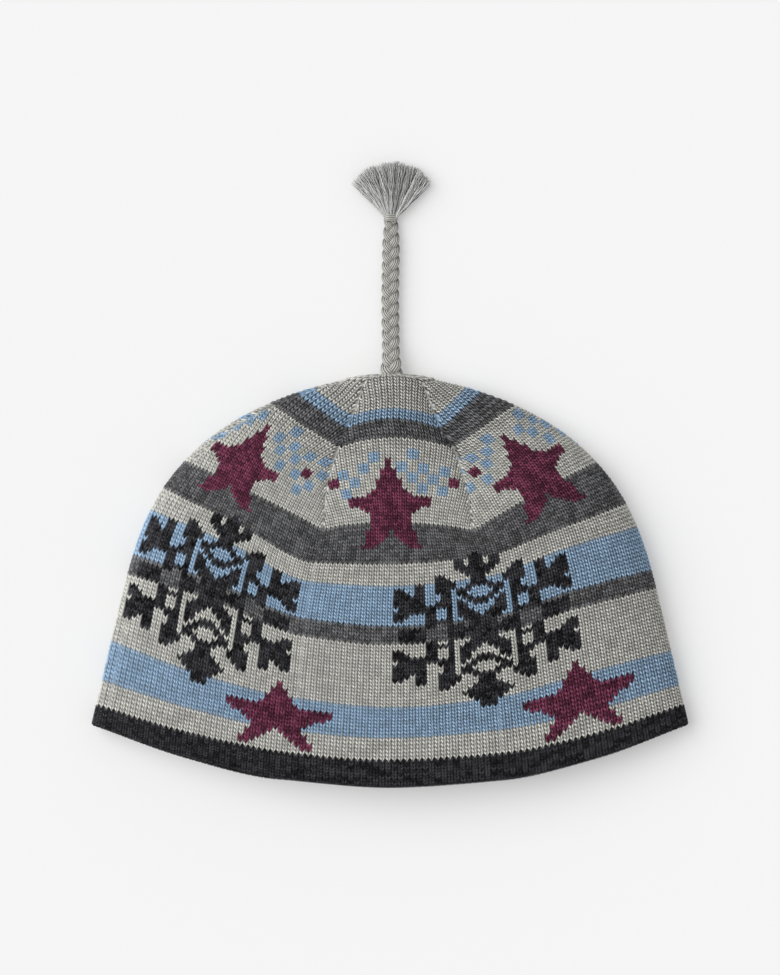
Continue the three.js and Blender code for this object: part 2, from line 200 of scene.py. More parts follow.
def curve_through(xs, ys):
    """A smooth curve through points, with no overshoot between them, as a function of x."""
    xs = np.asarray(xs, float)
    ys = np.asarray(ys, float)
    steps = np.diff(ys) / np.diff(xs)
    product = steps[:-1] * steps[1:]
    total = steps[:-1] + steps[1:]
    inner = np.where(product > 0, 2 * product / np.where(total == 0, 1, total), 0)
    slopes = np.concatenate([steps[:1], inner, steps[-1:]])

    def at(x):
        held = np.clip(x, xs[0], xs[-1])
        k = np.clip(np.searchsorted(xs, held, side="right") - 1, 0, len(xs) - 2)
        width = xs[k + 1] - xs[k]
        t = (held - xs[k]) / width
        from_low = ys[k] + t * t * (3 - 2 * t) * (ys[k + 1] - ys[k])
        bend = t * (1 - t) ** 2 * slopes[k] - t * t * (1 - t) * slopes[k + 1]
        return from_low + bend * width

    return at


def smooth_step(low, high, value):
    t = np.clip((value - low) / (high - low), 0, 1)
    return t * t * (3 - 2 * t)


def lerp(a, b, t):
    return a + (b - a) * t


def unit(vectors):
    return vectors / np.maximum(np.linalg.norm(vectors, axis=-1, keepdims=True), 1e-9)


COLUMN = CourseColumns(*zip(*COURSE_ROWS))
CENTRE_Y, SEAM_SHARE, TOP_Z, FOLD_Z = (
    curve_through(COLUMN.at, values) for values in (COLUMN.y, COLUMN.seam, COLUMN.top, COLUMN.fold)
)
RISES = {
    side: [curve_through(COLUMN.at, rises) for rises in zip(*getattr(COLUMN, side))]
    for side in ("left", "right")
}


def outline_half_width(y):
    depth = max(CROWN_TOP_Y - y, 0)
    share = min(depth / CROWN_DEPTH, 1)
    rounded = (1 - (1 - share) ** CROWN_SQUARENESS) ** (1 / CROWN_FULLNESS)
    return CROWN_HALF_WIDTH * rounded + SIDE_FLARE * depth


def rise_along(course, side, share, seam_share):
    """How far a course has climbed above its middle, at a share of the half width out to one side."""
    seam, middle, fold = (rise(course) for rise in RISES[side])
    halfway = (seam_share + 1) / 2
    smooth = curve_through([-seam_share, 0, seam_share, halfway, 1], [seam, 0, seam, middle, fold])(share)
    bulge = middle - (seam + fold) / 2
    t = (share - seam_share) / (1 - seam_share)
    outside = lerp(seam, fold, t) + 4 * bulge * t * (1 - t)
    cornered = np.where(share > seam_share, outside, seam * (share / seam_share) ** 2)
    return lerp(smooth, cornered, smooth_step(BODY_TOP_COURSE, CROWN_START_COURSE, course))


RING_SAMPLES = 240
PLACES_IN_GORE = 120
TABLE_STEP = 0.25
# The seam at each side lies past the fold, by one such part of the way from the last seam to the fold.
SIDE_SEAM_PARTS = 11
# Keeps a place at the end of a table within its last cell
JUST_INSIDE = 1.0001
# Places to each side over which the direction round the hat is taken, which smooths it
SMOOTHING_PLACES = 4


def course_ring(course):
    """One course: points at even places round the hat, from the first seam round to it again."""
    fold_z = FOLD_Z(course)
    arch = TOP_Z(course) - fold_z
    seam_share = float(SEAM_SHARE(course))
    turn = lerp(TURN_AT_BODY, TURN_AT_CROWN, smooth_step(CROWN_START_COURSE, LAST_COURSE, course))
    centre_y = float(CENTRE_Y(course))
    reach = {side: outline_half_width(centre_y + float(RISES[side][2](course))) for side in RISES}

    def half(angles, on_front):
        share = np.sin(angles)
        points = np.zeros((len(angles), 3))
        for side, outward in (("left", -1), ("right", 1)):
            mine = share < 0 if side == "left" else share >= 0
            shift = (turn if on_front else -turn) * outward
            away = np.abs(share[mine])
            points[mine, 0] = share[mine] * reach[side]
            points[mine, 1] = centre_y + rise_along(course, side, away, seam_share + shift / reach[side])
            if on_front:
                points[mine, 2] = fold_z + arch * np.cos(angles[mine])
            else:
                into_heel = np.maximum(away * reach[side] - (reach[side] - HEEL_WIDTH), 0) / HEEL_WIDTH
                points[mine, 2] = fold_z * (1 - np.sqrt(np.maximum(1 - into_heel ** 2, 0)))
        return points

    sweep = np.linspace(-math.pi / 2, math.pi / 2, RING_SAMPLES + 1)
    ring = np.vstack([half(sweep[:-1], True), half(sweep[::-1], False)])
    distances = np.concatenate([[0], np.cumsum(np.linalg.norm(np.diff(ring, axis=0), axis=1))])
    perimeter = distances[-1]
    fold = distances[RING_SAMPLES]

    def distance_at(share, on_front):
        turned = (math.asin(share) + math.pi / 2) / math.pi
        index = turned * RING_SAMPLES if on_front else (2 - turned) * RING_SAMPLES
        return np.interp(index, np.arange(len(distances)), distances)

    seam_shares = (-seam_share + turn / reach["left"], seam_share + turn / reach["right"])
    front_left, front_right = (distance_at(share, True) for share in seam_shares)
    back_right, back_left = (distance_at(-share, False) for share in seam_shares)
    side_right = fold + (fold - front_right) / SIDE_SEAM_PARTS
    side_left = perimeter + (perimeter - back_left) / SIDE_SEAM_PARTS
    seams = [front_left, front_right, side_right, back_right, back_left, side_left, front_left + perimeter]
    places = np.arange(GORES * PLACES_IN_GORE + 1) / PLACES_IN_GORE
    along = np.interp(places, np.arange(GORES + 1), seams) % perimeter
    points = np.stack([np.interp(along, distances, ring[:, axis]) for axis in range(3)], axis=1)
    around = (seams[0] + places / GORES * perimeter) / perimeter
    return points, perimeter, around


def make_surface_table():
    """Points and outward directions of the whole surface, by course and place."""
    rows = []
    gore_widths = []
    for course in np.arange(0, LAST_COURSE + TABLE_STEP / 2, TABLE_STEP):
        points, perimeter, around = course_ring(course)
        rows.append(points)
        gore_widths.append(perimeter / GORES)
    angle = math.pi - around * FULL_TURN
    neck_x = NECK_X + NECK_HALF_WIDTH * np.cos(angle)
    neck_z = NECK_Z + NECK_HALF_HEIGHT * np.sin(angle)
    neck = np.stack([neck_x, np.full_like(angle, NECK_Y), neck_z], axis=1)
    last = rows[-1]
    gather_steps = int(GATHER_COURSES / TABLE_STEP)
    for step in range(1, gather_steps + 1):
        share = step / gather_steps
        gathered = lerp(last, neck, share)
        gathered[:, 1] = lerp(last[:, 1], NECK_Y, math.sqrt(share))
        rows.append(gathered)
        gore_widths.append(gore_widths[-1] * (1 - share) + share * FULL_TURN * NECK_HALF_WIDTH / GORES)
    table = np.array(rows)
    up = np.gradient(table, axis=0)
    open_ring = table[:, :-1]
    ahead = np.roll(open_ring, -SMOOTHING_PLACES, axis=1)
    around_step = ahead - np.roll(open_ring, SMOOTHING_PLACES, axis=1)
    around_step = np.concatenate([around_step, around_step[:, :1]], axis=1)
    return table, unit(np.cross(around_step, up)), np.array(gore_widths)


SURFACE, OUTWARD, GORE_WIDTHS = make_surface_table()


def sample_table(table, course, place):
    """The table's value at any course and place, between its rows and columns."""
    row = np.clip(course / TABLE_STEP, 0, len(table) - JUST_INSIDE)
    column = np.clip(place, 0, GORES) * PLACES_IN_GORE
    column = np.clip(column, 0, table.shape[1] - JUST_INSIDE)
    low_row = row.astype(int)
    low_column = column.astype(int)
    v = (row - low_row)[..., None]
    u = (column - low_column)[..., None]
    low = lerp(table[low_row, low_column], table[low_row, low_column + 1], u)
    high = lerp(table[low_row + 1, low_column], table[low_row + 1, low_column + 1], u)
    return lerp(low, high, v)


def surface_point(course, place, inward):
    return sample_table(SURFACE, course, place) - sample_table(OUTWARD, course, place) * inward[..., None]


def dart_depth(course, place):
    """How deep the wall is pressed in along the seams of the crown."""
    gore_width = np.interp(course, np.arange(len(GORE_WIDTHS)) * TABLE_STEP, GORE_WIDTHS)
    from_seam = np.abs(place - np.round(place)) * gore_width
    open_again = 1 - smooth_step(LAST_COURSE - 2, NECK_COURSE, course)
    pressed = smooth_step(DARTS_START_COURSE, DARTS_FULL_COURSE, course) * open_again
    return DART_DEPTH * pressed * np.maximum(1 - from_seam / DART_HALF_WIDTH, 0)


# Wales that are left in a gore, from the body to the neck, for the front and back gores and for the
# four side gores, which end narrower
WALES_LEFT = curve_through(
    [CROWN_START_COURSE, 100, 105, LAST_COURSE, NECK_COURSE], [WALES_IN_GORE, 20, 16.5, 9, 6]
)
SIDE_WALES_LEFT = curve_through(
    [CROWN_START_COURSE, 90, 100, 105, 108, LAST_COURSE, NECK_COURSE],
    [WALES_IN_GORE, 25.6, 15.5, 11.4, 9, 3.6, 2.4],
)


# The knitting chart

Yarns = namedtuple("Yarns", "light_grey mid_grey blue burgundy charcoal")
YARN = Yarns(0, 1, 2, 3, 4)

# The first course of each stripe and its yarn
STRIPES = (
    (0, YARN.charcoal), (9, YARN.light_grey), (15, YARN.blue), (24, YARN.light_grey),
    (42, YARN.mid_grey), (47, YARN.blue), (58, YARN.light_grey), (64, YARN.mid_grey),
    (75, YARN.light_grey), (100, YARN.mid_grey), (105, YARN.blue), (108, YARN.light_grey),
)

# The snowflake, from its middle out: for each course above and below the middle, the wales out from
# its axis that are knitted in charcoal, as first and last of each run. The upper and lower points end
# differently, one as a small crown and one as a lozenge.
SNOWFLAKE_ARMS = (
    ((0, 6), (11, 15)),
    ((0, 2), (4, 6), (11, 15)),
    ((0, 2), (6, 6), (9, 10)),
    ((0, 3), (6, 10)),
    ((1, 4), (6, 6), (9, 10), (15, 16)),
    ((2, 4), (6, 6), (9, 10), (14, 16)),
    ((3, 4), (6, 6), (9, 16)),
    ((0, 1), (3, 4), (6, 15)),
    ((0, 2), (4, 4), (6, 8), (11, 16)),
    ((2, 3), (6, 7), (11, 16)),
    ((3, 4), (6, 7), (11, 16)),
    ((2, 4), (6, 8), (11, 12), (14, 16)),
    ((0, 2), (5, 8), (11, 12), (15, 16)),
    ((0, 1), (5, 8), (11, 12)),
    ((0, 1), (6, 8)),
    ((0, 2), (7, 8)),
    ((0, 3),),
)
SNOWFLAKE_CROWN = (((0, 4),), ((0, 1), (3, 4)), ((0, 1), (3, 4)), ((0, 1),), ((0, 0),))
SNOWFLAKE_LOZENGE = (((0, 4),), ((0, 3),), ((0, 2),), ((0, 1),), ((0, 1),))
# The first course above the snowflake's middle
SNOWFLAKE_COURSE = 44
SNOWFLAKE_WALES = (-36, 15, 66, 117)

# Half of a star's outline, as wales out from its axis and courses above its feet
LOWER_STAR = ((0, 17.2), (3.3, 10.4), (9.6, 10.1), (9.7, 8.9), (4.2, 5.4), (6.8, -0.4), (4.6, -0.4), (0, 4.2))
UPPER_STAR = (
    (0.4, 26.6), (0.9, 24.0), (1.7, 21.2), (2.4, 18.6), (3.4, 16.2), (8.9, 14.9),
    (8.9, 13.6), (3.9, 9.8), (6.4, 0.4), (3.7, 0.4), (0, 5.2),
)
LOWER_STAR_COURSE = 10
LOWER_STAR_WALES = (-21, 30, 81, 132)
# The upper star of each gore, from its middle
UPPER_STAR_WALES = (-2, -1, -2, -2, -2, -6)
UPPER_STAR_COURSES = (67, 68, 67, 67, 67, 68)
# Beside each upper star stand one or two dots, by gore, and small blue sprigs, all of one size. They
# are counted from the star's axis, by their first wale and middle course.
SPOT_WALES = 2
SPOT_COURSES = 3
DOTS = (((-11, 88), (12, 88)), ((-10, 90),), ((13, 88),), ((-11, 88), (12, 88)), ((-10, 90),), ((13, 88),))
FRONT_SPRIGS = (
    (-3, 94), (-5, 91), (-7, 87), (-9, 84), (-9, 90), (-12, 93),
    (2, 91), (4, 95), (4, 88), (6, 91), (6, 85), (8, 88), (10, 91), (10, 85),
)
SIDE_SPRIGS = (
    (-3, 96), (-5, 93), (-7, 90), (-9, 86), (-8, 94), (-10, 97), (-12, 93), (-13, 87),
    (3, 93), (5, 97), (5, 90), (7, 93), (7, 86), (9, 90),
    (11, 93), (14, 94), (11, 86), (16, 90), (13, 82), (15, 85),
)

WALES_ROUND = GORES * WALES_IN_GORE


def wales_from(axis, round_wale):
    """How many wales a stitch lies to the right of an axis, by the shorter way round the hat."""
    return (round_wale - axis + WALES_ROUND / 2) % WALES_ROUND - WALES_ROUND / 2


def star_holds(outline, across, above):
    """Which stitches lie inside a star whose left half mirrors the right one."""
    corners = [*outline, *((-x, y) for x, y in reversed(outline))]
    inside = np.zeros(across.shape, bool)
    for (x0, y0), (x1, y1) in zip(corners, corners[1:] + corners[:1]):
        crosses = (y0 > above) != (y1 > above)
        at = x0 + (above - y0) / (y1 - y0 if y1 != y0 else 1) * (x1 - x0)
        inside ^= crosses & (across < at)
    return inside


def chart(gore, wale, course):
    """The yarn of each stitch. The wale is counted from the middle of its gore."""
    yarn = np.zeros(wale.shape, int)
    for first_course, stripe in STRIPES:
        yarn[course >= first_course] = stripe
    round_wale = gore * WALES_IN_GORE + wale
    for axis in LOWER_STAR_WALES:
        lower_star = star_holds(LOWER_STAR, wales_from(axis, round_wale), course - LOWER_STAR_COURSE)
        yarn[lower_star] = YARN.burgundy
    across = wale - UPPER_STAR_WALES[gore]
    spots = [(*place, YARN.blue) for place in (SIDE_SPRIGS if gore % 3 else FRONT_SPRIGS)]
    spots += [(*place, YARN.burgundy) for place in DOTS[gore]]
    for first_wale, middle_course, colour in spots:
        in_wales = (across >= first_wale) & (across < first_wale + SPOT_WALES)
        yarn[in_wales & (np.abs(course - middle_course) < SPOT_COURSES / 2)] = colour
    yarn[star_holds(UPPER_STAR, across, course - UPPER_STAR_COURSES[gore])] = YARN.burgundy
    upper = course >= SNOWFLAKE_COURSE
    level = np.where(upper, course - SNOWFLAKE_COURSE, SNOWFLAKE_COURSE - 1 - course)
    halves = ((upper, SNOWFLAKE_ARMS + SNOWFLAKE_CROWN), (~upper, SNOWFLAKE_ARMS + SNOWFLAKE_LOZENGE))
    for axis in SNOWFLAKE_WALES:
        out = np.abs(wales_from(axis, round_wale))
        for in_half, arm in halves:
            for at_level, runs in enumerate(arm):
                for first, last in runs:
                    yarn[in_half & (level == at_level) & (out >= first) & (out <= last)] = YARN.charcoal
    return yarn


# Meshes

COLUMNS_IN_WALE = 6
ROWS_IN_COURSE = 2
# How far the yarn stands up at the six columns of a wale, in the two rows of a course. The columns are
# the wale's edge, two on the left leg, the middle and two on the right leg. The lowest places are the
# holes inside the stitches and those between two wales.
STAND = np.array(((0.4, 0.25, 0.3, 0.5, 0.3, 0.25), (0.0, 0.8, 1.0, 0.0, 1.0, 0.8)))
STAND_AT_SEAM = 0.45
EDGE_CLEARANCE = 0.08
# Towards the top the knitting is stretched, so its holes open.
OPEN_FROM_COURSE = 88
OPEN_FULL_COURSE = 106
OPENING = 0.5
# Real knitting is a little uneven. A stitch strays by up to so much, in courses or wales, those within
# so many wales and courses stray together, and each gore takes another place of the noise.
Stray = namedtuple("Stray", "reach wales courses gore_shift seed")
COURSE_STRAY = Stray(0.12, 3.1, 4.3, 11, 11)
WALE_STRAY = Stray(0.055, 2.3, 3.7, 13, 12)
HEM_STRAY = Stray(0.12, 3.1, 4.3, 0, 31)
# The higher this power, the nearer to the seams the stitches still stray
SEAM_CALM = 6
# How much the stitches differ in how far they stand up
FULLNESS_SPREAD = 0.18
FULLNESS_SEED = 21
NOISE_CELLS = 97


def soft_noise(x, y, seed):
    """Smooth noise from -1 to 1 that varies over one unit of x and y."""
    grid = np.random.default_rng(seed).uniform(-1, 1, (NOISE_CELLS, NOISE_CELLS))
    low_x = np.floor(x).astype(int)
    low_y = np.floor(y).astype(int)
    u = smooth_step(0, 1, x - low_x)
    v = smooth_step(0, 1, y - low_y)

    def at(right, up):
        return grid[(low_y + up) % NOISE_CELLS, (low_x + right) % NOISE_CELLS]

    return lerp(lerp(at(0, 0), at(1, 0), u), lerp(at(0, 1), at(1, 1), u), v)


def stray(kind, gore, wale, phase):
    """How far each stitch strays from its even place."""
    x = gore * kind.gore_shift + wale / kind.wales
    return kind.reach * soft_noise(x, phase / kind.courses, kind.seed)


def leg_shear(wale, leg_rise):
    """How far the stitch's legs have climbed above their middle height, in courses."""
    return leg_rise * (np.abs(2 * (wale - np.floor(wale)) - 1) - 0.5)


def lay_out(wale, phase):
    """Grids over wales and courses: the number of each column and row, and its wale and phase."""
    return (*np.meshgrid(np.arange(len(wale)), np.arange(len(phase))), *np.meshgrid(wale, phase))


def stand(column, row, columns_in_wale, rows_in_course):
    """How far a vertex of the knitting stands up, from 0 in the grooves to 1 on the yarn."""
    in_wale = column * COLUMNS_IN_WALE // columns_in_wale % COLUMNS_IN_WALE
    in_course = row * ROWS_IN_COURSE // rows_in_course % ROWS_IN_COURSE
    return STAND[in_course, in_wale]


def grid_triangles(index):
    """Triangles over a grid of vertex numbers, rows going up and columns to the right."""
    low_left = index[:-1, :-1]
    high_right = index[1:, 1:]
    corners = [low_left, index[:-1, 1:], high_right, low_left, high_right, index[1:, :-1]]
    return np.stack(corners, axis=-1).reshape(-1, 3)


def bridge(fine, coarse):
    """Triangles between two edges, where the fine one has a whole number of steps for each coarse one."""
    ratio = (len(fine) - 1) // (len(coarse) - 1)
    corners = []
    for i in range(len(coarse) - 1):
        for k in range(i * ratio, (i + 1) * ratio):
            corners.append((coarse[i], fine[k], fine[k + 1]))
        corners.append((coarse[i], fine[(i + 1) * ratio], coarse[i + 1]))
    return np.array(corners)


def linked_object(name, data):
    made = bpy.data.objects.new(name, data)
    bpy.context.scene.collection.objects.link(made)
    return made


def mesh_object(
    name, points, triangles, materials, uv=None, map_name="OFBake", yarns=None, groove_shade=None, sharp=None
):
    """A smooth mesh object from points in millimetres."""
    mesh = bpy.data.meshes.new(name)
    mesh.vertices.add(len(points))
    mesh.vertices.foreach_set("co", (points * MM).astype(np.float32).ravel())
    mesh.loops.add(triangles.size)
    mesh.loops.foreach_set("vertex_index", triangles.astype(np.int32).ravel())
    mesh.polygons.add(len(triangles))
    mesh.polygons.foreach_set("loop_start", np.arange(0, triangles.size, 3, dtype=np.int32))
    mesh.polygons.foreach_set("use_smooth", np.ones(len(triangles), bool))
    for material in materials:
        mesh.materials.append(material)
    if yarns is not None:
        mesh.polygons.foreach_set("material_index", yarns.astype(np.int32))
    mesh.update(calc_edges=True)
    if uv is not None:
        layer = mesh.uv_layers.new(name=map_name)
        layer.data.foreach_set("uv", uv[triangles.ravel()].astype(np.float32).ravel())
    # Painted shade: how far each vertex lies in shade among the yarns, which the materials paint darker
    if groove_shade is not None:
        attribute = mesh.attributes.new("groove_shade", "FLOAT", "POINT")
        attribute.data.foreach_set("value", groove_shade.astype(np.float32))
    if sharp is not None:
        on_edge = np.zeros(len(points), bool)
        on_edge[sharp] = True
        ends = np.zeros(len(mesh.edges) * 2, np.int32)
        mesh.edges.foreach_get("vertices", ends)
        attribute = mesh.attributes.new("sharp_edge", "BOOLEAN", "EDGE")
        attribute.data.foreach_set("value", on_edge[ends.reshape(-1, 2)].all(axis=1))
    return linked_object(name, mesh)


# The share of a gore's map that its outside takes, and the gap below its inside
OUTER_UV_SHARE = 0.84
UV_GAP = 0.01
COURSES_OF_GORE = NECK_COURSE - BAND_TOP_COURSE
# The inside shows through the mouth alone, so its mesh is coarser and its stitches are flatter.
INNER_COLUMNS_IN_WALE = 2
INNER_ROWS_IN_COURSE = 1
INNER_RELIEF_SHARE = 0.6


def gore_layer(gore, columns_in_wale, rows_in_course, sizes, inner):
    """One side of a gore of knitting: vertex numbers by row and column, points, painted groove shade and map
    places.
    """
    relief = sizes.relief / MM
    leg_rise = sizes.leg_rise
    wale = np.arange(-WALES_IN_GORE / 2, WALES_IN_GORE / 2 + 0.5 / columns_in_wale, 1 / columns_in_wale)
    phase = np.arange(BAND_TOP_COURSE, NECK_COURSE - leg_rise / 2, 1 / rows_in_course)
    phase = phase[: (len(phase) - 1) // rows_in_course * rows_in_course + 1]
    columns, rows, wale, phase = lay_out(wale, phase)
    seam_course = phase + leg_rise / 2
    wales_left = SIDE_WALES_LEFT if gore % 3 else WALES_LEFT
    limit = wales_left(seam_course) / 2
    held = np.abs(wale) > limit - EDGE_CLEARANCE
    course = np.where(held, seam_course, phase + leg_shear(wale, leg_rise))
    share = np.where(held, np.sign(wale) * limit, wale) / wales_left(course)
    # The stitches keep their places at the seams.
    calm = 1 - np.abs(2 * share) ** SEAM_CALM
    share = share + stray(WALE_STRAY, gore, wale, phase) / WALES_IN_GORE * calm
    place = gore + 0.5 + np.clip(share, -0.5, 0.5)
    course = np.clip(course + stray(COURSE_STRAY, gore, wale, phase) * calm, 0, NECK_COURSE)
    opened = 1 + OPENING * smooth_step(OPEN_FROM_COURSE, OPEN_FULL_COURSE, course)
    up = np.where(held, STAND_AT_SEAM, stand(columns, rows, columns_in_wale, rows_in_course) ** opened)
    if inner:
        inward = sizes.wall / MM - relief * INNER_RELIEF_SHARE * (1 - up)
    else:
        stitches = (rows.max() // rows_in_course + 1, columns.max() // columns_in_wale + 1)
        rng = np.random.default_rng(gore + FULLNESS_SEED)
        fullness = 1 + FULLNESS_SPREAD * rng.uniform(-1, 1, stitches)
        stands = up * fullness[rows // rows_in_course, columns // columns_in_wale]
        inward = relief * (1 - np.minimum(stands, 1)) + dart_depth(course, place)
    points = surface_point(course, place, inward)
    # Vertices held at the seam all become the first of them.
    numbers = np.arange(wale.size).reshape(wale.shape)
    for row in range(len(numbers)):
        free = np.flatnonzero(~held[row])
        left, right = free[0] - 1, free[-1] + 1
        if left >= 0:
            numbers[row, : left + 1] = numbers[row, left]
        if right < wale.shape[1]:
            numbers[row, right:] = numbers[row, right]
    u = wale / WALES_IN_GORE + 0.5
    v = (phase - BAND_TOP_COURSE) / COURSES_OF_GORE
    v = lerp(OUTER_UV_SHARE + UV_GAP, 1, v) if inner else v * OUTER_UV_SHARE
    # Painted shade: the lower a vertex lies among the stitches, the darker its yarn is painted
    return numbers, points.reshape(-1, 3), 1 - up.ravel(), np.stack([u.ravel(), v.ravel()], axis=1)


def chart_triangles(gore, index, columns_in_wale, rows_in_course):
    """The yarn of each triangle in a grid of stitches, which has two to a cell."""
    rows, columns = np.indices((index.shape[0] - 1, index.shape[1] - 1))
    wale = columns // columns_in_wale - WALES_IN_GORE // 2
    return np.repeat(chart(gore, wale, BAND_TOP_COURSE + rows // rows_in_course).ravel(), 2)


def make_gore(gore, name, sizes, materials):
    """One gore of the hat, knitted on both sides and closed at its edges."""
    fine = (COLUMNS_IN_WALE, ROWS_IN_COURSE)
    coarse = (INNER_COLUMNS_IN_WALE, INNER_ROWS_IN_COURSE)
    outer, *outer_layer = gore_layer(gore, *fine, sizes, False)
    inner, *inner_layer = gore_layer(gore, *coarse, sizes, True)
    inner += len(outer_layer[0])
    points, groove_shade, uv = (np.concatenate(sides) for sides in zip(outer_layer, inner_layer))
    edges = (
        (outer[0], inner[0], 1), (outer[-1], inner[-1], -1),
        (outer[:, 0], inner[:, 0], -1), (outer[:, -1], inner[:, -1], 1),
    )
    walls = np.vstack([bridge(outside, inside)[:, ::turn] for outside, inside, turn in edges])
    rim = np.concatenate([edge for outside, inside, _ in edges for edge in (outside, inside)])
    triangles = np.vstack([grid_triangles(outer), grid_triangles(inner)[:, ::-1], walls])
    yarns = [chart_triangles(gore, outer, *fine), chart_triangles(gore, inner, *coarse)]
    yarns = np.concatenate([*yarns, np.zeros(len(walls), int)])
    a, b, c = triangles.T
    whole = (a != b) & (b != c) & (c != a)
    used, compact = np.unique(triangles[whole], return_inverse=True)
    return mesh_object(
        name, points[used], compact.reshape(-1, 3), materials,
        uv=uv[used], yarns=yarns[whole], groove_shade=groove_shade[used], sharp=np.isin(used, rim),
    )


HEM_MM_IN_COURSE = 1.52
# Courses of the hem's map, which goes down the outside and up inside
HEM_MAP_COURSES = 20
# The hem's edge is drawn in by so many courses, give or take as many, and that changes over so many wales.
HEM_WAVE = 0.12
HEM_WAVE_WALES = 5.3
HEM_WAVE_SEED = 32


def make_hem_band(name, sizes, materials):
    """The turned-up hem: down the outside, round the edge and up inside, as one closed ring of knitting."""
    relief = sizes.relief / MM
    half = sizes.hem_wall / MM / 2
    edge_course = half / HEM_MM_IN_COURSE
    straight = BAND_TOP_COURSE - edge_course
    bend = math.pi * edge_course
    courses = round(2 * straight + bend)
    wale = np.arange(WALES_ROUND * COLUMNS_IN_WALE) / COLUMNS_IN_WALE
    phase = np.arange(courses * ROWS_IN_COURSE + 1) / ROWS_IN_COURSE
    columns, rows, wale, phase = lay_out(wale, phase)
    along = phase * (2 * straight + bend) / courses - leg_shear(wale, sizes.leg_rise)
    along += stray(HEM_STRAY, 0, wale, phase) * np.sin(np.pi * phase / courses)
    up = stand(columns, rows, COLUMNS_IN_WALE, ROWS_IN_COURSE)
    reach = half - relief * (1 - up)
    angle = np.clip((along - straight) / bend, 0, 1) * math.pi
    course = edge_course - np.sin(angle) * reach / HEM_MM_IN_COURSE
    course += np.maximum(straight - along, 0) + np.maximum(along - straight - bend, 0)
    wave = HEM_WAVE + HEM_WAVE * soft_noise(wale / HEM_WAVE_WALES, np.zeros_like(wale), HEM_WAVE_SEED)
    course = np.maximum(course, 0) + wave * (1 - smooth_step(1, BAND_TOP_COURSE - 2, course))
    points = surface_point(course, wale / WALES_IN_GORE, half - reach * np.cos(angle))
    index = np.arange(wale.size).reshape(wale.shape)
    index = np.concatenate([index, index[:, :1]], axis=1)
    index = np.concatenate([index, index[:1]], axis=0)
    uv = np.stack([wale / WALES_ROUND, phase / courses], axis=2).reshape(-1, 2)
    triangles = grid_triangles(index)[:, ::-1]
    # Painted shade: the lower a vertex lies among the stitches, the darker its yarn is painted
    return mesh_object(name, points.reshape(-1, 3), triangles, materials, uv=uv, groove_shade=1 - up.ravel())


# Plait, tie and fringe

# The route of the plait's middle line, from the crown to the tie, as the packed part has it
PLAIT_ROUTE = (
    (0.6, 98.1, 7.3), (0.6, 101.2, 7.2), (0.5, 105.0, 6.5), (0.4, 110.0, 5.3),
    (0.3, 115.0, 4.6), (0.2, 122.0, 4.45), (0.1, 132.0, 4.45), (0.2, 142.0, 4.45),
    (0.4, 152.0, 4.45), (0.5, 160.0, 4.45), (0.5, 168.2, 4.45),
)
PLAIT_START = PLAIT_ROUTE[0][1]
PLAIT_END = PLAIT_ROUTE[-1][1]
PLAIT_STEPS = 150
PATH_POINTS = 36
STRANDS = 3
# How far the strands run on into the crown and into the tie
INTO_CROWN = 2.5
INTO_TIE = 1.5
# A strand's width as a share of the plait's, its height as a share of its width, and its lift where
# it crosses over another
STRAND_WIDTH = 0.47
STRAND_HEIGHT = 0.78
STRAND_LIFT = 1.45
# The real plait is flatter than the packed round one. It comes down from this height over this length.
PACKED_HEIGHT = 4.4
LIES_DOWN_OVER = 16
# How much wider the plait is at the crown and narrower at the tie, and where each begins and ends,
# counted from the plait's start and from its end
ROOT_SWELL = 0.28
ROOT_SWELL_ENDS = (-2, 9)
TIE_PINCH = 0.2
TIE_PINCH_ENDS = (-12, 1)
# Length in which a yarn turns once round its strand, and half of how much darker it is painted where that is
# under: painted shade
YARN_LAY = 45
UNDER_SHADE = 0.16

TIE_X = PLAIT_ROUTE[-1][0]
TIE_Z = PLAIT_ROUTE[-1][2] - 0.6
TIE_START = PLAIT_END + 0.3
TIE_LENGTH = 3.8
TIE_RADIUS = 2.7
TIE_HEIGHT_SHARE = 0.92
TIE_YARN_RADIUS = 0.36
TIE_STEPS = 220
# The turns are a little uneven, and the later ones lie over the first. Both ends are tucked in.
TIE_UNEVEN = 0.03
TIE_UNEVEN_TURNS = 0.7
TIE_BUILD_UP = 0.1
TUCK_DEPTH = 0.25
TUCK_SHARE = 0.04


def route_at(y):
    """Points of the plait's middle line at distances up the photograph, straight beyond its ends."""
    xs, ys, zs = np.array(PLAIT_ROUTE).T
    return np.stack([curve_through(ys, xs)(y), y, curve_through(ys, zs)(y)], axis=-1)


# Each yarn takes its map from another place, so that no two look alike.
YARN_MAP_SHIFT = 0.37
PLIES_IN_YARN = 3


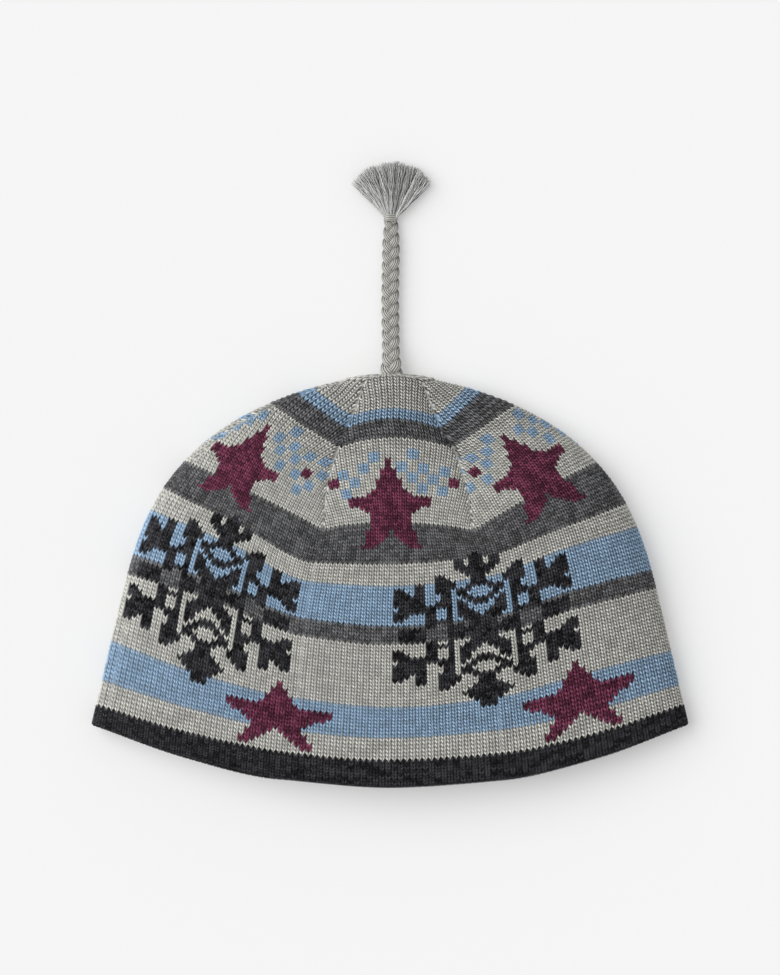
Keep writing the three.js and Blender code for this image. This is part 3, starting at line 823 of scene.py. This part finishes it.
def yarn_object(name, lines, radii, material, sides, outward=(0, 0, 1), shades=0.0):
    """Closed round yarns along lines, all with as many steps, as one mesh object.

    A yarn has its highest vertices on its outward side, and it is painted darker towards the opposite side:
    painted shade. Shades, one for each step of each yarn, are added to that painted shade.
    """
    count, steps, _ = lines.shape
    tangent = unit(np.gradient(lines, axis=1))
    side = unit(np.cross(tangent, np.broadcast_to(outward, lines.shape)))
    over = np.cross(side, tangent)
    angle = (np.arange(sides) / sides + 0.25) * FULL_TURN
    out, high = (radii[..., None, None] * turned[:, None] for turned in (np.cos(angle), np.sin(angle)))
    ring = lines[:, :, None] + side[:, :, None] * out + over[:, :, None] * high
    points = np.concatenate([ring.reshape(-1, 3), lines[:, 0], lines[:, -1]])
    index = np.arange(count * steps * sides).reshape(count, steps, sides)
    following = np.roll(index, -1, axis=2)
    starts = np.broadcast_to(index.size + np.arange(count)[:, None], (count, sides))
    corners = (
        (index[:, :-1], index[:, 1:], following[:, 1:]),
        (index[:, :-1], following[:, 1:], following[:, :-1]),
        (index[:, 0], following[:, 0], starts),
        (following[:, -1], index[:, -1], starts + count),
    )
    length = np.cumsum(np.linalg.norm(np.diff(lines, axis=1), axis=2), axis=1)
    length = np.concatenate([np.zeros((count, 1)), length], axis=1)
    # A ring's map runs there and back, so that it has no jump where it closes.
    around = np.abs(2 * np.arange(sides) / sides - 1)
    shifts = np.arange(count)[:, None, None] * YARN_MAP_SHIFT
    uv = np.stack(np.broadcast_arrays(length[:, :, None], around + shifts), axis=-1)
    uv = np.concatenate([uv.reshape(-1, 2), np.zeros((2 * count, 2))])
    shades = np.broadcast_to(shades, (count, steps))
    # Painted shade: darker away from the outward side, plus each step's own painted shade
    groove_shade = 0.5 - 0.5 * np.sin(angle) + shades[..., None]
    return mesh_object(
        name,
        points,
        np.vstack([np.stack(three, axis=-1).reshape(-1, 3) for three in corners]),
        [material],
        uv=uv,
        groove_shade=np.concatenate([groove_shade.ravel(), shades[:, 0] + 0.5, shades[:, -1] + 0.5]),
        map_name="Yarn",
    )


def make_plait(name, sizes, material):
    """Three strands that cross over and under each other, each a bundle of yarns."""
    yarn_radius = sizes.yarn / 2 / MM
    half_width = sizes.width / 2 / MM
    strand_half_width = half_width * STRAND_WIDTH - yarn_radius
    strand_half_height = strand_half_width * STRAND_HEIGHT
    swing = half_width - strand_half_width - yarn_radius
    y = np.linspace(PLAIT_START - INTO_CROWN, TIE_START + INTO_TIE, PLAIT_STEPS)
    from_start = y - PLAIT_START
    middle = route_at(y)
    lying = smooth_step(0, LIES_DOWN_OVER, from_start)
    middle[:, 2] -= lying * (PACKED_HEIGHT - STRAND_LIFT - strand_half_height - yarn_radius)
    width = 1 + ROOT_SWELL * (1 - smooth_step(*ROOT_SWELL_ENDS, from_start))
    width -= TIE_PINCH * smooth_step(*TIE_PINCH_ENDS, y - PLAIT_END)
    lines = []
    outward = []
    shades = []
    for strand in range(STRANDS):
        phase = from_start / (sizes.pitch / MM) * FULL_TURN + strand * FULL_TURN / STRANDS
        centre = middle.copy()
        centre[:, 0] += swing * width * np.sin(phase)
        centre[:, 2] += STRAND_LIFT * width * np.sin(2 * phase)
        tangent = unit(np.gradient(centre, axis=0))
        side = unit(np.cross(tangent, (0, 0, 1)))
        over = np.cross(side, tangent)
        for yarn in range(sizes.yarns_in_strand):
            turn = yarn / sizes.yarns_in_strand * FULL_TURN + from_start / YARN_LAY * FULL_TURN
            out = (width * np.cos(turn))[:, None]
            high = (width * np.sin(turn))[:, None]
            lines.append(centre + side * out * strand_half_width + over * high * strand_half_height)
            outward.append(side * out + over * high)
            # Painted shade: darker where the strand dips under another
            shades.append(UNDER_SHADE - UNDER_SHADE * np.sin(2 * phase))
    lines = np.array(lines)
    radii = np.broadcast_to(yarn_radius * width, lines.shape[:2])
    outward = np.array(outward)
    return yarn_object(name, lines, radii, material, sides=6, outward=outward, shades=np.array(shades))


def make_tie(name, sizes, material):
    """Yarn wound round the end of the plait, there and back, so that its turns cross."""
    share = np.linspace(0, 1, TIE_STEPS)
    angle = share * sizes.tie_turns * FULL_TURN
    there_and_back = 1 - np.abs(2 * share - 1)
    y = TIE_START + TIE_YARN_RADIUS + there_and_back * (TIE_LENGTH - 2 * TIE_YARN_RADIUS)
    wander = 1 + TIE_UNEVEN * np.sin(angle * TIE_UNEVEN_TURNS + 1) + TIE_BUILD_UP * share
    tucked = smooth_step(TUCK_SHARE, 0, share) + smooth_step(1 - TUCK_SHARE, 1, share)
    radius = TIE_RADIUS * (1 - TUCK_DEPTH * tucked)
    x = TIE_X + radius * wander * np.cos(angle)
    z = TIE_Z + radius * TIE_HEIGHT_SHARE * np.sin(angle)
    outward = np.stack([np.cos(angle), np.zeros(TIE_STEPS), np.sin(angle)], axis=1)
    radii = np.full((1, TIE_STEPS), TIE_YARN_RADIUS)
    lines = np.stack([x, y, z], axis=1)[None]
    # The whole tie is painted a little darker: painted shade, since all its turns face up to the light
    return yarn_object(name, lines, radii, material, sides=6, outward=outward, shades=0.1)


FRINGE_SEED = 7
FRINGE_STEPS = 12
# The ends start inside the tie, in a bundle with rounded sides that is wider than it is high.
FRINGE_START = TIE_START + 1.0
FRINGE_INTO_TIE = 1.8
ROOT_HALF_WIDTH = 2.6
ROOT_HALF_HEIGHT = 2.2
ROOT_RADIUS = 3.2
# They are spaced and lean unevenly. They are cut in a curve that is longest a little to the right, and
# differ in length one by one and in clumps.
SPACING_STRAY = 0.03
LEAN_STRAY = 0.035
CUT_CURVE = 0.14
CUT_LONGEST_AT = 0.12
CUT_POWER = 1.6
CUT_SPREAD = (0.94, 1.0)
CLUMPS = 15
CLUMP_SPREAD = (-0.04, 0.02)
# Each waves a little, and opens into its plies, which twist round each other.
WAVE_SPREAD = (0.08, 0.3)
WAVE_LENGTH_SPREAD = (6.0, 11.0)
PLY_CUT_SPREAD = (0.96, 1.02)
PLY_OPEN = 0.22
PLY_OPEN_MORE = 0.75
PLY_TWIST = 3.5
END_RADIUS = 0.22
END_TAPER = 0.14
# Distances from the tie over which the ends turn outwards, come to wave and come open, and the share
# of their length over which they come down to the heights at which they lie
TURNS_OUT = (0.5, 3.5)
COMES_TO_WAVE = (2, 9)
COMES_OPEN = (0, 4)
COMES_DOWN = (0, 0.7)
LYING_HEIGHT = 3.4
LYING_SPREAD = 2.6
LOWEST = 0.3
# Ends inside the fringe are painted darker, painted shade, and tips and the outermost ends painted lighter,
# painted light. Each ply's tone also differs a little at random.
INSIDE_SHADE = 0.45
INSIDE_POWER = 0.7
SHADE_SPREAD = (-0.15, 0.12)
TIP_LIGHT = 0.25
OUTERMOST_LIGHT = 0.2


def make_fringe(name, sizes, material):
    """Cut yarn ends that fan out flat beyond the tie, each opened into its plies at its tip."""
    rng = np.random.default_rng(FRINGE_SEED)
    yarns = sizes.fringe_ends // PLIES_IN_YARN
    length = sizes.fringe_length / MM + FRINGE_INTO_TIE
    spaced = np.linspace(-1, 1, yarns) + rng.uniform(-SPACING_STRAY, SPACING_STRAY, yarns)
    heights = rng.uniform(-1, 1, yarns)
    clumps = np.interp(spaced, np.linspace(-1, 1, CLUMPS), rng.uniform(*CLUMP_SPREAD, CLUMPS))
    along = np.linspace(0, 1, FRINGE_STEPS)
    lines = []
    shades = []
    for across, height, clump in zip(spaced, heights, clumps):
        lean = across * sizes.fringe_angle + rng.normal(0, LEAN_STRAY) * (1 - abs(across))
        cut = 1 - CUT_CURVE * abs(across - CUT_LONGEST_AT) ** CUT_POWER + clump
        reach = length * cut * rng.uniform(*CUT_SPREAD)
        wave = rng.uniform(*WAVE_SPREAD)
        wave_length = rng.uniform(*WAVE_LENGTH_SPREAD)
        wave_phase = rng.uniform(0, FULL_TURN)
        root_out = ROOT_HALF_WIDTH * math.sin(across * math.pi / 2)
        root_high = ROOT_HALF_HEIGHT * height * math.sqrt(max(1 - (root_out / ROOT_RADIUS) ** 2, 0))
        inside = (1 - abs(height)) ** INSIDE_POWER
        for ply in range(PLIES_IN_YARN):
            distance = along * reach * rng.uniform(*PLY_CUT_SPREAD)
            direction = lean * smooth_step(*TURNS_OUT, distance)
            steps = np.diff(distance, prepend=0)
            x = np.cumsum(np.sin(direction) * steps)
            y = np.cumsum(np.cos(direction) * steps)
            waving = np.sin(distance / wave_length * FULL_TURN + wave_phase)
            twist = ply / PLIES_IN_YARN * FULL_TURN + wave_phase + distance / PLY_TWIST
            opened = (PLY_OPEN + PLY_OPEN_MORE * along ** 2) * smooth_step(*COMES_OPEN, distance)
            sway = wave * waving * smooth_step(*COMES_TO_WAVE, distance) + opened * np.cos(twist)
            lying = LYING_HEIGHT + height * LYING_SPREAD
            z = lerp(TIE_Z + root_high, lying, smooth_step(*COMES_DOWN, along)) + opened * np.sin(twist)
            x += TIE_X + root_out + sway * math.cos(lean)
            y += FRINGE_START - sway * math.sin(lean)
            lines.append(np.stack([x, y, np.maximum(z, LOWEST)], axis=1))
            lightness = TIP_LIGHT * along ** 2 + OUTERMOST_LIGHT * across ** 4
            shades.append(INSIDE_SHADE * inside + rng.uniform(*SHADE_SPREAD) - lightness)
    radii = np.broadcast_to(END_RADIUS - END_TAPER * along ** 2, (len(lines), FRINGE_STEPS))
    return yarn_object(name, np.array(lines), radii, material, sides=4, shades=np.array(shades))


# Materials

def add_node(tree, kind, links=None, **settings):
    """Adds a node with its settings. Links go from an output or a node's first one, or set a value."""
    node = tree.nodes.new(kind)
    for name, value in settings.items():
        setattr(node, name, value)
    for name, value in (links or {}).items():
        if isinstance(value, bpy.types.Node):
            value = value.outputs[0]
        if isinstance(value, bpy.types.NodeSocket):
            tree.links.new(value, node.inputs[name])
        else:
            node.inputs[name].default_value = value
    return node


def shade(colour, factor):
    """A lighter or darker shade of a colour, as a node value."""
    return [min(c * factor, 1) for c in colour] + [1]


def begin_yarn(name, map_name):
    """A material that has only the node of its map so far."""
    material = bpy.data.materials.new(name)
    material.use_nodes = True
    tree = material.node_tree
    tree.nodes.clear()
    return material, tree, add_node(tree, "ShaderNodeUVMap", uv_map=map_name)


def fibre_noise(tree, place, fibres):
    """Noise over a map that has so many fibres to each unit of its two directions."""
    stretched = add_node(tree, "ShaderNodeVectorMath", {0: place, 1: (*fibres, 1)}, operation="MULTIPLY")
    links = {"Vector": stretched, "Scale": 1.0, "Detail": 2.0}
    return add_node(tree, "ShaderNodeTexNoise", links, noise_dimensions="2D")


def finish_yarn(tree, strays, darkest, lightest, groove_shade_range, bump, surface):
    """What all wool yarns share: two shades of one colour, painted shade in grooves and on the far sides of
    yarns, raised fibres and a matt shader.
    """
    spread = add_node(tree, "ShaderNodeMapRange", strays)
    mix = add_node(tree, "ShaderNodeMix", {0: spread, 6: darkest, 7: lightest}, data_type="RGBA")
    # Painted shade: the colour is darkened where a place lies in a groove or on the far side of a yarn
    groove_shade = add_node(tree, "ShaderNodeAttribute", attribute_name="groove_shade")
    dim = add_node(tree, "ShaderNodeMapRange", {"Value": groove_shade.outputs["Fac"], "To Min": 1.0, **groove_shade_range})
    links = {0: mix.outputs[2], "Scale": dim}
    dimmed = add_node(tree, "ShaderNodeVectorMath", links, operation="SCALE")
    raised = add_node(tree, "ShaderNodeBump", bump)
    links = {"Base Color": dimmed, "Normal": raised, **surface}
    shader = add_node(tree, "ShaderNodeBsdfPrincipled", links)
    add_node(tree, "ShaderNodeOutputMaterial", {"Surface": shader})


def knit_yarn(name, colour, heather, wales_in_map, courses_in_map):
    """Wool yarn knitted in stocking stitch: matt and soft, with fibres along the legs of the stitches.

    Heather is how far single fibres and whole stitches stray from the colour. The grooves between the
    legs are painted darker, painted shade, because little light reaches the fibres there.
    """
    material, tree, stitch_map = begin_yarn(name, "OFBake")
    links = {0: stitch_map, 1: (wales_in_map, courses_in_map, 1)}
    stitches = add_node(tree, "ShaderNodeVectorMath", links, operation="MULTIPLY")
    whole = add_node(tree, "ShaderNodeVectorMath", {0: stitches}, operation="FLOOR")
    by_stitch = add_node(tree, "ShaderNodeTexWhiteNoise", {"Vector": whole}, noise_dimensions="2D")
    # Six fibre bundles to a wale, 0.45 mm each, and two lengths of them to a course
    fibres = fibre_noise(tree, stitches, (6, 2.2))
    # Soft clouds about three stitches wide, because the yarn's blend changes along it
    links = {"Vector": stitches, "Scale": 0.35, "Detail": 1.0}
    clouds = add_node(tree, "ShaderNodeTexNoise", links, noise_dimensions="2D")
    links = {0: fibres, 1: 3.0, 2: by_stitch}
    stray_stitch = add_node(tree, "ShaderNodeMath", links, operation="MULTIPLY_ADD")
    stray_cloud = add_node(tree, "ShaderNodeMath", {0: stray_stitch, 1: clouds}, operation="ADD")
    finish_yarn(
        tree,
        strays={"Value": stray_cloud, "From Min": 1.95, "From Max": 3.05},
        darkest=shade(colour, 1 - heather),
        lightest=shade(colour, 1 + heather),
        groove_shade_range={"From Min": 0.2, "From Max": 0.87, "To Max": 0.03},
        bump={"Height": fibres, "Strength": 0.5, "Distance": 0.12 * MM},
        surface={"Roughness": 0.95, "Specular IOR Level": 0.1, "Sheen Weight": 0.04, "Sheen Roughness": 0.6},
    )
    return material


def knit_materials(colours, wales_in_map, courses_in_map):
    """The five yarns of the hat, in the order of the chart."""
    looks = (
        ("wool yarn, light heather grey", colours.light_grey, 0.2),
        ("wool yarn, mid heather grey", colours.mid_grey, 0.55),
        ("wool yarn, sky blue", colours.blue, 0.2),
        ("wool yarn, burgundy", colours.burgundy, 0.6),
        ("wool yarn, charcoal", colours.charcoal, 0.95),
    )
    return [knit_yarn(*look, wales_in_map, courses_in_map) for look in looks]


def twisted_yarn(name, colour, twist_mm):
    """Soft wool yarn spun from three plies: matt, with slanting grooves between the plies.

    The map gives millimetres along the yarn and turns round it, so one ply comes round each twist.
    """
    material, tree, yarn_map = begin_yarn(name, "Yarn")
    place = add_node(tree, "ShaderNodeSeparateXYZ", {0: yarn_map})
    links = {0: place.outputs[0], 1: 1 / twist_mm, 2: place.outputs[1]}
    turned = add_node(tree, "ShaderNodeMath", links, operation="MULTIPLY_ADD")
    plies = add_node(tree, "ShaderNodeMath", {0: turned, 1: PLIES_IN_YARN * FULL_TURN}, operation="MULTIPLY")
    wave = add_node(tree, "ShaderNodeMath", {0: plies}, operation="SINE")
    # Hairs 1.4 mm long and a ninth of the way round
    hairs = fibre_noise(tree, yarn_map, (0.7, 9))
    height = add_node(tree, "ShaderNodeMath", {0: wave, 1: 0.25, 2: hairs}, operation="MULTIPLY_ADD")
    # The plies are painted lighter on top and darker between them, painted light and shade along the twist;
    # the hairs add random tone
    finish_yarn(
        tree,
        strays={"Value": height, "From Min": 0.15, "From Max": 0.85},
        darkest=shade(colour, 0.72),
        lightest=shade(colour, 1.2),
        groove_shade_range={"From Min": 0.0, "From Max": 0.55, "To Max": 0.12},
        bump={"Height": height, "Strength": 0.6, "Distance": 0.1 * MM},
        surface={"Roughness": 0.92, "Specular IOR Level": 0.2, "Sheen Weight": 0.15, "Sheen Roughness": 0.5},
    )
    return material


def hand_over(piece, node):
    """Puts a finished piece in place of a node of the packed hat."""
    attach(piece, "root")
    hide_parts(node)


# The gores in their order round the hat, from the front to the right
GORE_NAMES = (
    "gore_front", "gore_front_right", "gore_back_right", "gore_back", "gore_back_left", "gore_front_left",
)


class BEANIE_OT_gores(bpy.types.Operator):
    """Knit the six gores of the body and crown"""

    bl_idname = "beanie.gores"
    bl_label = "Knit gores"

    def execute(self, context):
        sizes = context.scene.knit_sizes
        colours = context.scene.yarn_colours
        materials = knit_materials(colours, WALES_IN_GORE, COURSES_OF_GORE / OUTER_UV_SHARE)
        for gore, name in enumerate(GORE_NAMES):
            hand_over(make_gore(gore, name, sizes, materials), "knit_shell")
        return {"FINISHED"}


class BEANIE_OT_hem(bpy.types.Operator):
    """Knit the turned-up hem"""

    bl_idname = "beanie.hem"
    bl_label = "Knit hem"

    def execute(self, context):
        scene = context.scene
        colour = scene.yarn_colours.charcoal
        heather = 0.85
        charcoal = knit_yarn("wool yarn, charcoal hem", colour, heather, WALES_ROUND, HEM_MAP_COURSES)
        hand_over(make_hem_band("hem", scene.knit_sizes, [charcoal]), "hem_band")
        return {"FINISHED"}


class BEANIE_OT_tassel(bpy.types.Operator):
    """Plait the cord, wind its tie and spread its fringe"""

    bl_idname = "beanie.tassel"
    bl_label = "Make tassel"

    def execute(self, context):
        scene = context.scene
        sizes = scene.plait_sizes
        tassel = scene.yarn_colours.tassel
        plait_yarn = twisted_yarn("wool yarn, plaited", tassel, twist_mm=4.0)
        tie = make_tie("tie", sizes, twisted_yarn("wool yarn, wound", tassel, twist_mm=3.0))
        # Cut ends scatter light among them, so their yarn is painted lighter than the same yarn in the plait:
        # painted light.
        cut_ends = twisted_yarn("wool yarn, cut ends", shade(tassel, 1.5)[:3], twist_mm=6.0)
        fringe = make_fringe("fringe_ends", sizes, cut_ends)
        plait = make_plait("plait", sizes, plait_yarn)
        path = route_at(np.linspace(PLAIT_START, PLAIT_END, PATH_POINTS)) * MM
        for piece, node in ((plait, "braid"), (tie, "braid_tie"), (fringe, "fringe")):
            hand_over(piece, node)
        return {"FINISHED"}


CAMERA_HEIGHT = 4.0
CLIP_END = 100
TOWARDS_KEY = Vector((-0.9, 0.33, 1.0))
# The floor reaches so far to each side, and lies a hair below the hat.
FLOOR_REACH = 4.0
FLOOR_DROP = 0.05


class BEANIE_OT_stage(bpy.types.Operator):
    """Set up the camera, the floor and the light"""

    bl_idname = "beanie.stage"
    bl_label = "Set the stage"

    def execute(self, context):
        scene = context.scene
        settings = scene.stage_settings
        scene.view_settings.view_transform = "Standard"
        # Straight above, with a lens long enough that the hat shows no perspective
        data = bpy.data.cameras.new("camera")
        data.lens = data.sensor_width * CAMERA_HEIGHT / (PHOTO_HEIGHT * MM_PER_PIXEL * MM)
        data.clip_end = CLIP_END
        scene.camera = linked_object("camera", data)
        scene.camera.location = (0, PHOTO_CENTRE_Y * MM, CAMERA_HEIGHT)

        light = bpy.data.lights.new("key light", "SUN")
        light.angle = settings.key_spread
        light.energy = settings.key_strength
        key = linked_object("key light", light)
        key.location = TOWARDS_KEY
        key.rotation_euler = (-TOWARDS_KEY).to_track_quat("-Z", "Y").to_euler()

        world = bpy.data.worlds.new("soft studio")
        world.use_nodes = True
        background = world.node_tree.nodes["Background"].inputs
        background["Color"].default_value = (1, 1, 1, 1)
        background["Strength"].default_value = settings.sky
        scene.world = world

        # Matt paper on a light table: no gloss, and a little light of its own
        paper = bpy.data.materials.new("matt paper")
        paper.use_nodes = True
        looks = {
            "Base Color": [*settings.floor, 1],
            "Roughness": 1.0,
            "Specular IOR Level": 0.0,
            "Emission Color": (1, 1, 1, 1),
            "Emission Strength": settings.floor_glow,
        }
        for socket, value in looks.items():
            paper.node_tree.nodes["Principled BSDF"].inputs[socket].default_value = value
        corners = np.array([(-1, -1, 0), (1, -1, 0), (1, 1, 0), (-1, 1, 0)]) * FLOOR_REACH / MM
        corners[:, 2] = -FLOOR_DROP
        floor = mesh_object("floor", corners, np.array([(0, 1, 2), (0, 2, 3)]), [paper])
        return {"FINISHED"}


class BEANIE_PT_panel(bpy.types.Panel):
    """Sizes, colours and pieces of the hat"""

    bl_idname = "BEANIE_PT_panel"
    bl_label = "Tassel beanie"
    bl_space_type = "VIEW_3D"
    bl_region_type = "UI"
    bl_category = "Beanie"

    def draw(self, context):
        layout = self.layout
        for name, group in PROPERTY_GROUPS.items():
            box = layout.box()
            box.label(text=group.__doc__)
            for key in group.__annotations__:
                box.prop(getattr(context.scene, name), key)
        for operator in OPERATORS:
            layout.operator(operator.bl_idname)


PROPERTY_GROUPS = {
    "knit_sizes": KnitSizes,
    "plait_sizes": PlaitSizes,
    "yarn_colours": YarnColours,
    "stage_settings": StageSettings,
}
OPERATORS = (BEANIE_OT_stage, BEANIE_OT_tassel, BEANIE_OT_gores, BEANIE_OT_hem)


def register():
    for name, group in PROPERTY_GROUPS.items():
        bpy.utils.register_class(group)
        setattr(bpy.types.Scene, name, PointerProperty(type=group))
    for cls in (*OPERATORS, BEANIE_PT_panel):
        bpy.utils.register_class(cls)


def unregister():
    for cls in reversed((*OPERATORS, BEANIE_PT_panel)):
        bpy.utils.unregister_class(cls)
    for name, group in PROPERTY_GROUPS.items():
        delattr(bpy.types.Scene, name)
        bpy.utils.unregister_class(group)


def main():
    register()
    for operator in OPERATORS:
        getattr(bpy.ops.beanie, operator.bl_idname.split(".")[1])()


if __name__ == "__main__":
    main()
